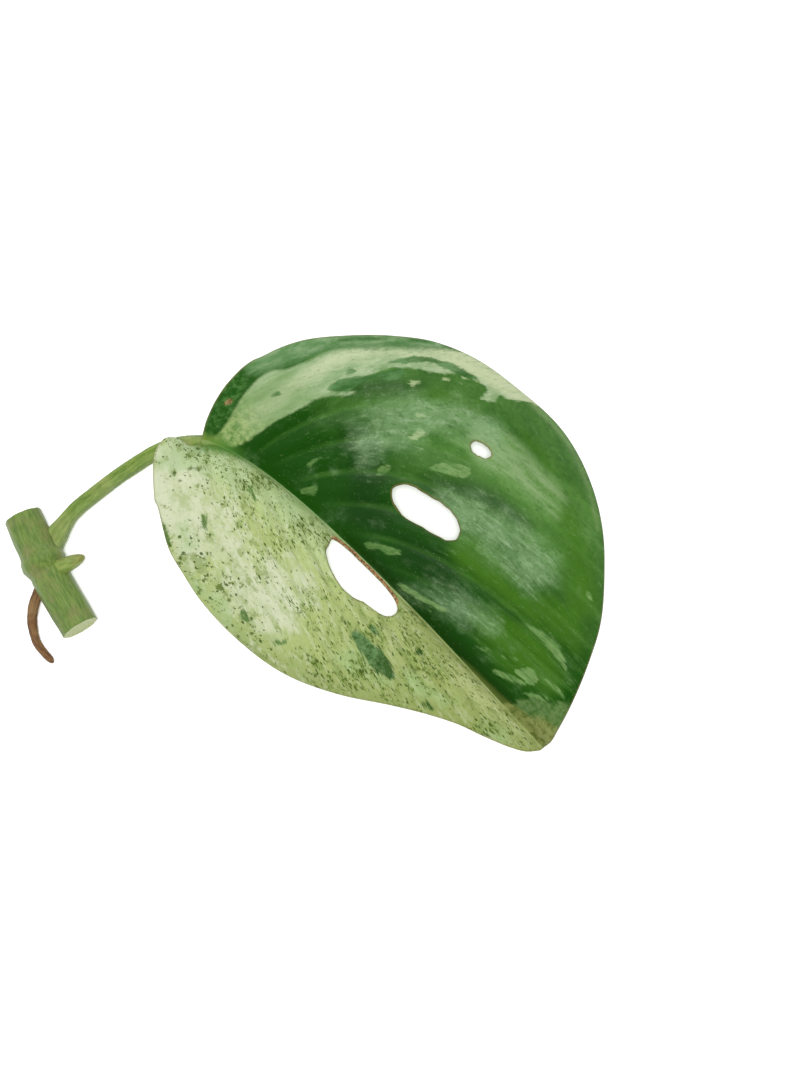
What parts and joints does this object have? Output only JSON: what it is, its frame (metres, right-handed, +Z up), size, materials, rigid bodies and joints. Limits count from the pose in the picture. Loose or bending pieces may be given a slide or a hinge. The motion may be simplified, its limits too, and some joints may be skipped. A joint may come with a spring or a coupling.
{
  "type": "scindapsus cutting",
  "caption": "Variegated leaf with natural holes on its curved stalk, attached to a short cut length of vine with a bud and an aerial root, lying on a surface.",
  "frame": {"origin": "middle of the cutting's box in plan, on the surface it lies on", "axes": "+X runs from the stem's side towards the leaf's tip, roughly along the midrib; +Y points to the dark half of the leaf; +Z is up, through the upper face of the leaf"},
  "size_m": [0.0862, 0.0826, 0.0098],
  "materials": {
    "leaf": "waxy green leaf, half variegated in cream",
    "stalk": "smooth olive green skin",
    "vine": "smooth green skin with a ringed node and pale cut ends",
    "root": "dry brown skin"
  },
  "bodies": {
    "root": {"leaf_blade": "leaf", "petiole": "stalk", "stem": "vine", "aerial_root": "root"}
  },
  "joints": []
}
